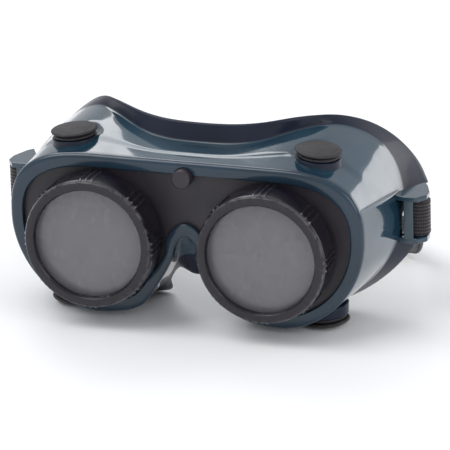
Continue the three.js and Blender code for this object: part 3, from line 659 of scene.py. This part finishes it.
lug_low, lug_high = LUG_Z - LUG_WINDOW / 2, LUG_Z + LUG_WINDOW / 2
guard_inner, guard_outer, guard_back = LUG_X - 4.6, LUG_X - 0.4, lug_front + LUG_GUARD
guard_outline = [
    (guard_inner, lug_front), (guard_outer, lug_front),
    (guard_outer, guard_back), (guard_inner, guard_back),
]
bar_angles = np.arange(32) * np.pi / 16
bar_outline = LUG_BAR_RADIUS * np.column_stack([np.cos(bar_angles), np.sin(bar_angles)])
lug_solids = [
    prism(plate_outline(FLANGE_SIDE_Y + 2), lug_high, lug_high + LUG_PLATE),
    prism(plate_outline(FLANGE_SIDE_Y), lug_low - LUG_PLATE, lug_low),
    prism(guard_outline, lug_low - LUG_SUNK, lug_high + LUG_SUNK),
    prism(bar_outline + [LUG_X, LUG_Y], lug_low - LUG_SUNK, lug_high + LUG_SUNK),
]


def joined(solids):
    """The points and faces of several solids as one list of each."""
    points, faces = [], []
    for solid_points, solid_faces in solids:
        faces += [[i + sum(map(len, points)) for i in face] for face in solid_faces]
        points.append(solid_points)
    return np.vstack(points), faces


def soft_edges(piece, width):
    """A small round along every hard edge, with the flat faces kept flat to the light."""
    bevel = piece.modifiers.new("edges", "BEVEL")
    bevel.width = width * MM
    bevel.segments = 3
    bevel.limit_method = "ANGLE"
    bevel.angle_limit = np.radians(32)
    piece.modifiers.new("flats", "WEIGHTED_NORMAL")


for side_name, side in (("left", -1), ("right", 1)):
    lug_points, lug_faces = joined(lug_solids)
    lug = new_piece("strap_lug_" + side_name, lug_points * [side, 1, 1], lug_faces, pvc, 60)
    soft_edges(lug, 0.45)
    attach(lug, "frame")

# ---------------------------------------------------------------- front plate
# A hard black plate, satin from its mould, lies in the bezel's groove. Two short cups grow
# out of it, which the lens rings screw on to.
plate_finish = Finish("plate_plastic", Coat_Roughness=0.3)
plate_cloud = plate_finish.noise(45, 3).above(0.35, 0.7)
plate_colour = plate_finish.colours(plate_cloud, rgb(38, 34, 41), rgb(48, 43, 50))
plate_finish.varies("Base Color", plate_colour)
plate_finish.varies("Roughness", 0.36 + plate_finish.noise(160, 3) * 0.14)
plate_finish.relief(plate_finish.noise(2600, 2), 0.00006)


def softened(node, name, finish, width):
    """A copy of a CAD node with merged corners and small rounds along its edges."""
    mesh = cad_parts[node].data.copy()
    mesh.name = name
    merged = bmesh.new()
    merged.from_mesh(mesh)
    bmesh.ops.remove_doubles(merged, verts=merged.verts, dist=2e-6)
    bmesh.ops.dissolve_limit(
        merged, angle_limit=np.radians(1), verts=merged.verts, edges=merged.edges
    )
    merged.to_mesh(mesh)
    merged.free()
    mesh.shade_smooth()
    mesh.set_sharp_from_angle(angle=np.radians(30))
    mesh.materials.clear()
    mesh.materials.append(finish.material)
    piece = bpy.data.objects.new(name, mesh)
    bpy.context.collection.objects.link(piece)
    soft_edges(piece, width)
    return piece


front_plate = softened("front_plate", "plate_with_cups", plate_finish, 0.25)
finished(front_plate, "frame", "plate_plastic", "front_plate")

# ---------------------------------------------------------------- centre stud
# A push-in stud with a broad flat head holds the top of the plate.
STUD_RADIUS, STUD_PROUD, STUD_SHANK = 4.1, 3.6, 2.2
stud_front, stud_seat, stud_catch = RIM_Y - STUD_PROUD, RIM_Y + LIP_DEPTH, groove
stud_profile = eased(
    [
        (0, stud_front), (STUD_RADIUS, stud_front), (STUD_RADIUS, stud_seat),
        (STUD_SHANK, stud_seat), (STUD_SHANK, stud_catch), (STUD_SHANK + 1, stud_catch),
        (STUD_SHANK - 0.4, stud_catch + 2.4), (0, stud_catch + 2.4),
    ],
    [0, 0.7, 0.2, 0.1, 0.1, 0.2, 0.2, 0],
)


def facing_back(points):
    """Points turned about Z laid down so that their height runs back along Y."""
    return points[:, :, [0, 2, 1]]


stud_points = facing_back(turned(stud_profile)) + [0, 0, STUD_Z]
stud = turned_piece("plate_stud", stud_points, plate_finish)
finished(stud, "frame", "plate_plastic", "centre_stud")

# ---------------------------------------------------------------- lens stacks
# Behind each ring lie a clear cover glass, a dark shade glass and a flat rubber gasket.
LENS_RADIUS, COVER, SHADE, GASKET = 25, 1.8, 3, 1.5
APERTURE, LIP, CUP_RADIUS = 23.5, 2, 26.5
cover_front = LIP + GAP
shade_front = cover_front + COVER + GAP
gasket_front = shade_front + SHADE + GAP

cover_glass = Finish("clear_glass", IOR=1.5, Alpha=0.12)
cover_smear = cover_glass.noise(55, 4, (1, 1, 2)).above(0.5, 0.8)
# painted reflection: the clear glass is painted light grey, like the bright room seen in the lens;
# smears make it a little lighter
cover_smear_and_reflection = cover_glass.colours(cover_smear, rgb(114, 114, 118), rgb(124, 124, 128))
cover_glass.varies("Base Color", cover_smear_and_reflection)
cover_glass.varies("Roughness", 0.02 + cover_smear * 0.05)

shade_glass = Finish("shade_glass", IOR=1.5, Coat_Weight=0.6, Coat_Roughness=0.03)
shade_cloud = shade_glass.noise(22, 2)
# painted reflection: the dark shade glass is painted light grey, for the bright room reflected in
# it
shade_painted_reflection = shade_glass.colours(shade_cloud, rgb(107, 105, 110), rgb(112, 111, 115))
shade_glass.varies("Base Color", shade_painted_reflection)
shade_glass.varies("Roughness", 0.22 + shade_glass.noise(120, 3) * 0.1)

gasket_rubber = Finish("gasket_rubber")
gasket_dust = gasket_rubber.noise(600, 4).above(0.5, 0.75)
gasket_colour = gasket_rubber.colours(gasket_dust, rgb(28, 27, 29), rgb(46, 45, 46))
gasket_rubber.varies("Base Color", gasket_colour)
gasket_rubber.varies("Roughness", 0.7 + gasket_dust * 0.15)
gasket_rubber.relief(gasket_rubber.noise(1800, 2), 0.00008)


def washer(inner, outer, front, depth, rounding):
    """A flat disc, where the inner radius is 0, or a ring, with its edges rounded."""
    back = front + depth
    corners = [(inner, front), (outer, front), (outer, back), (inner, back)]
    first_rounding = rounding if inner > 0 else 0.01
    return facing_back(turned(eased(corners, [first_rounding, rounding, rounding, rounding])))


for side_name, eye_x in (("left", -EYE_X), ("right", EYE_X)):
    cover = washer(0, LENS_RADIUS, cover_front, COVER, 0.25)
    shade = washer(0, LENS_RADIUS, shade_front, SHADE, 0.3)
    gasket = washer(APERTURE - 0.4, CUP_RADIUS - 0.2, gasket_front, GASKET, 0.3)
    stack = [
        ("cover_lens_", cover_glass, "clear_glass", cover),
        ("shade_lens_", shade_glass, "shade_glass", shade),
        ("lens_gasket_", gasket_rubber, "gasket_rubber", gasket),
    ]
    for node, pane_finish, slot, points in stack:
        pane = turned_piece("round_" + node + side_name, points + [eye_x, 0, 0], pane_finish)
        finished(pane, "lens_stack_" + side_name, slot, node + side_name)

# ---------------------------------------------------------------- lens rings
# Each ring is a satin black screw cap with a broad front lip, a rounded front edge and eight
# groups of three grip ribs. Its front edge and rib ends carry a painted highlight; the ribs are
# lightly worn.
RING_LENGTH, RING_BORE, THREAD_BORE, RING_RADIUS = 15.5, 25.3, 26.8, 28.2
RIB_START, RIB_HEIGHT, RIB_GROUPS, RIBS = 1.6, 0.45, 8, 3
RIB_PITCH, RIB_WIDTH, RIB_RAMP = 5, 2.2, 0.35
ring_step = LIP + COVER + SHADE + 2 * GAP + 0.6
ring_profile = eased(
    [
        (APERTURE, LIP), (APERTURE, LIP - 0.7), (APERTURE + 0.8, 0), (RING_RADIUS - 0.7, 0),
        (RING_RADIUS, RIB_START), (RING_RADIUS, RIB_START + 1.2), (RING_RADIUS - 0.2, RING_LENGTH),
        (THREAD_BORE, RING_LENGTH), (THREAD_BORE, ring_step), (RING_BORE, ring_step),
        (RING_BORE, LIP),
    ],
    [0.1, 0.2, 0.35, 0.45, 0.5, 0.3, 0.3, 0.3, 0.1, 0.1, 0.1],
)
group_angles = np.arange(RIB_GROUPS) * 360 / RIB_GROUPS + 90
rib_middles = np.add.outer(group_angles, (np.arange(RIBS) - 1) * RIB_PITCH).ravel()
rib_shares = np.array([-1.05, -0.95, -0.62, -0.5, -0.2, 0.2, 0.5, 0.62, 0.95, 1.05])
rib_edges = np.add.outer(rib_middles, rib_shares * RIB_WIDTH / 2).ravel()
ring_angles = np.concatenate([np.arange(240) * 1.5, rib_edges])
ring_angles = np.unique(np.round(ring_angles % 360, 3))
from_rib = np.abs((ring_angles[:, None] - rib_middles + 180) % 360 - 180).min(1)
rib_lift = smooth(np.clip((RIB_WIDTH / 2 - from_rib) / RIB_RAMP, 0, 1))
skirt = ring_profile[:, 0] > THREAD_BORE + 0.3
skirt_lift = smooth(np.clip((ring_profile[:, 1] - RIB_START + 0.7) / 0.9, 0, 1)) * skirt
ring_lift = skirt_lift[:, None] * rib_lift
ring_points = turned(ring_profile, angles=np.radians(ring_angles))
ring_spokes = np.stack([np.cos(np.radians(ring_angles)), np.sin(np.radians(ring_angles))], -1)
ring_points[:, :, :2] += (ring_lift * RIB_HEIGHT)[:, :, None] * ring_spokes

# painted highlight on the front edge and the fronts of the ribs, and light wear along the ribs
from_edge = (ring_profile[:, 0] - RING_RADIUS + 0.5) / 0.5
rim_wear = np.exp(-(from_edge**2) - (ring_profile[:, 1] - 0.6) ** 2)
rib_end_highlight = np.exp(-(((ring_profile[:, 1] - RIB_START) / 0.6) ** 2))[:, None]
RIM_HIGHLIGHT, RIB_WEAR = 0.55, 0.12
ring_wear = np.maximum(rim_wear[:, None] * RIM_HIGHLIGHT, ring_lift * (RIB_WEAR + rib_end_highlight))

ring_finish = Finish("ring_plastic", IOR=1.4, Coat_Roughness=0.12)
ring_cloud = ring_finish.noise(60, 3)
# this mask lightens the colour to pale grey: painted highlight on the front edge and rib ends,
# light wear along the ribs
wear_and_highlight_mask = ring_finish.node("Attribute", {"attribute_name": "wear"}, output=2)
wear_and_highlight_mask = wear_and_highlight_mask * ring_finish.noise(420, 3).above(0.35, 0.6)
ring_colour = ring_finish.colours(ring_cloud, rgb(20, 16, 25), rgb(27, 23, 31))
ring_finish.varies("Base Color", ring_finish.colours(wear_and_highlight_mask * 0.6, ring_colour, rgb(120, 118, 124)))
ring_finish.varies("Roughness", 0.2 + ring_finish.noise(210, 3) * 0.1)
ring_finish.varies("Coat Weight", 0.2 + wear_and_highlight_mask * 0.4)
ring_finish.relief(ring_finish.noise(1900, 2), 0.00005)
for side_name, eye_x in (("left", -EYE_X), ("right", EYE_X)):
    placed = facing_back(ring_points) + [eye_x, 0, 0]
    ring = turned_piece("screw_ring_" + side_name, placed, ring_finish, wear=ring_wear)
    finished(ring, "ring_" + side_name, "ring_plastic", "lens_ring_" + side_name)

# ---------------------------------------------------------------- vents
# A vent is a flanged plug of matte dark grey plastic, pressed into its seat, and a domed cap
# on a stem, with a shallow step round the dome.
CAP_RADIUS, VENT_BASE, VENT_NECK, VENT_STEM = 10.15, 8.9, 5.6, 2.6
body_profile = eased(
    [
        (VENT_STEM + GAP, -SEAT_DEPTH - 2.5), (VENT_NECK, -SEAT_DEPTH - 2.5), (VENT_NECK, GAP),
        (VENT_BASE, GAP), (VENT_BASE, 1.2), (VENT_BASE - 0.9, 1.7), (VENT_STEM + GAP, 1.7),
    ],
    [0.3, 0.3, 0.1, 0.3, 0.3, 0.3, 0.2],
)
cap_profile = eased(
    [
        (0, -SEAT_DEPTH), (VENT_STEM, -SEAT_DEPTH), (VENT_STEM, 2), (CAP_RADIUS - 0.6, 2),
        (CAP_RADIUS, 2.9), (CAP_RADIUS - 0.9, 3.55), (CAP_RADIUS - 2.2, 3.6),
        (CAP_RADIUS - 2.8, 3.85), (CAP_RADIUS - 6, 4.25), (0, 4.35),
    ],
    [0, 0.2, 0.2, 0.5, 0.7, 0.5, 0.3, 0.4, 2.5, 0],
)
vent_finish = Finish("vent_plastic")
vent_dust = vent_finish.noise(380, 4).above(0.42, 0.72)
vent_finish.varies("Base Color", vent_finish.colours(vent_dust, rgb(37, 34, 37), rgb(50, 46, 50)))
vent_finish.varies("Roughness", 0.5 + vent_finish.noise(240, 3) * 0.2)
vent_finish.relief(vent_finish.noise(1500, 3), 0.00012)
for vent_name, (vent_x, vent_z, vent_side, vent_up) in VENTS.items():
    for part_name, profile in (("vent_body_", body_profile), ("vent_cap_", cap_profile)):
        vent_points = turned(profile) @ vent_axes(vent_side, vent_up) + [vent_x, VENT_Y, vent_z]
        vent = turned_piece("domed_" + part_name + vent_name, vent_points, vent_finish)
        finished(vent, "frame", "vent_plastic", part_name + vent_name)

# ---------------------------------------------------------------- head strap
# Woven elastic, 15 mm wide, with raised ribs along it. It is folded round both lug bars and
# runs back and down on edge, until the slider that holds its loose end is on the floor.
STRAP_WIDTH, STRAP_THICKNESS = 15, 1.4
STRAP_RIB_PITCH, STRAP_RIB_RISE, PICK_PITCH = 1.5, 0.1, 0.9
LAYER = STRAP_THICKNESS + GAP
STRAP_BACK, STRAP_STRAIGHT, TAIL_X, TAB = 130, 45, -12, 24
SLIDER_PLATE = 1.6
side_curve = np.array([
    (LUG_X - 3.6, LUG_Y + 7), (LUG_X - 7.3, LUG_Y + 33.5),
    (LUG_X - 17.3, STRAP_BACK), (STRAP_STRAIGHT, STRAP_BACK),
])
t = np.linspace(0, 1, 65)[:, None]
side_middle = (
    (1 - t) ** 3 * side_curve[0] + 3 * t * (1 - t) ** 2 * side_curve[1]
    + 3 * t**2 * (1 - t) * side_curve[2] + t**3 * side_curve[3]
)
side_way = np.gradient(side_middle, axis=0)
side_way /= np.linalg.norm(side_way, axis=1, keepdims=True)
side_normal = np.column_stack([side_way[:, 1], -side_way[:, 0]])
side_inside = side_middle - side_normal * LAYER / 2
side_outside = side_middle + side_normal * LAYER / 2
FOLD_START, FOLD_END, FOLD_STEP = 140, 420, 7
fold_angle = np.radians(np.arange(FOLD_START, FOLD_END + 1, FOLD_STEP))
fold_radius = LUG_BAR_RADIUS + GAP + STRAP_THICKNESS / 2
fold = fold_radius * np.column_stack([np.cos(fold_angle), np.sin(fold_angle)]) + [LUG_X, LUG_Y]
tail_x = np.linspace(TAIL_X, STRAP_STRAIGHT, 24)[:-1]
tail = np.column_stack([tail_x, np.full(len(tail_x), STRAP_BACK - LAYER / 2)])
back_x = np.linspace(STRAP_STRAIGHT, -STRAP_STRAIGHT, 40)[1:-1]
back = np.column_stack([back_x, np.full(len(back_x), STRAP_BACK + LAYER / 2)])
side_lengths = np.linalg.norm(np.diff(side_middle, axis=0), axis=1).cumsum()
tab_count = int((side_lengths < TAB).sum()) + 1
flip = np.array([-1, 1])
route = np.vstack([
    tail, side_inside[::-1], fold, side_outside, back,
    side_outside[::-1] * flip, fold[::-1] * flip, side_inside[:tab_count] * flip,
])
ROUTE_PASSES = 6
for _ in range(ROUTE_PASSES):
    route[1:-1] = 0.25 * route[:-2] + 0.5 * route[1:-1] + 0.25 * route[2:]


def strap_height(y):
    """Level at the lugs, then an eased fall until the slider's lower bar is on the floor."""
    rest = FLANGE_BOTTOM + STRAP_WIDTH / 2 + GAP + SLIDER_PLATE
    fall = np.clip((y - LUG_Y - 10) / (STRAP_BACK - 18 - LUG_Y), 0, 1)
    return LUG_Z + (rest - LUG_Z) * smooth(fall)


way = np.gradient(route, axis=0)
way /= np.linalg.norm(way, axis=1, keepdims=True)
band_normal = np.column_stack([way[:, 1], -way[:, 0]])
half_width, half_thick = STRAP_WIDTH / 2, STRAP_THICKNESS / 2
edge_corners = np.array([[-1, -1], [1, -1], [1, 1], [-1, 1]]) * [half_thick, half_width]
section = eased(edge_corners, 0.65, 4)
face_rise = np.linspace(-1, 1, 25)[1:-1] * (half_width - 0.9)
rib_swell = STRAP_RIB_RISE * (np.cos(face_rise * 2 * np.pi / STRAP_RIB_PITCH) - 1)
near_face = np.column_stack([half_thick + rib_swell, face_rise])
far_face = np.column_stack([-half_thick - rib_swell, face_rise])[::-1]
section = np.vstack([section[4:8], near_face, section[8:12], section[12:16], far_face, section[:4]])
band_points = np.concatenate(
    [
        route[:, None] + band_normal[:, None] * section[None, :, :1],
        strap_height(route[:, 1])[:, None, None] + section[None, :, 1:],
    ],
    axis=-1,
)
strap_length = np.append(0, np.linalg.norm(np.diff(route, axis=0), axis=1).cumsum())
rings, round_count = band_points.shape[:2]
strap_faces = grid_faces(rings, round_count, False, True).tolist()
last_ring = (rings - 1) * round_count
strap_faces += [list(range(round_count)), list(range(last_ring, last_ring + round_count))]
across = np.broadcast_to(section[:, 1], (rings, round_count))
along = np.broadcast_to(strap_length[:, None], (rings, round_count))

elastic = Finish("elastic_webbing", Sheen_Weight=0.35, Sheen_Roughness=0.4)
weave_along = elastic.node("Attribute", {"attribute_name": "along"}, output=2)
weave_across = elastic.node("Attribute", {"attribute_name": "across"}, output=2)
TURN = 2 * np.pi
ribs = (weave_across * (TURN / STRAP_RIB_PITCH) + TURN / 4).wave()
picks = (weave_along * (TURN / PICK_PITCH)).wave()
yarn = ribs * (0.55 + picks * 0.45)
lint = elastic.noise(900, 4).above(0.55, 0.8)
webbing = elastic.colours(yarn, rgb(20, 17, 19), rgb(58, 51, 54))
elastic.varies("Base Color", elastic.colours(lint * 0.35, webbing, rgb(96, 90, 92)))
elastic.varies("Roughness", 0.9 - yarn * 0.2)
elastic.relief(yarn, 0.0003)
strap = new_piece("elastic_strap", band_points, strap_faces, elastic, along=along, across=across)
finished(strap, "frame", "elastic_webbing", "head_strap")

# ---------------------------------------------------------------- strap slider
# A small moulded slider: two bars on one side of the doubled strap, one on the other.
slider = softened("strap_slider", "moulded_slider", plate_finish, 0.35)
finished(slider, "slider", "plate_plastic", "strap_slider")
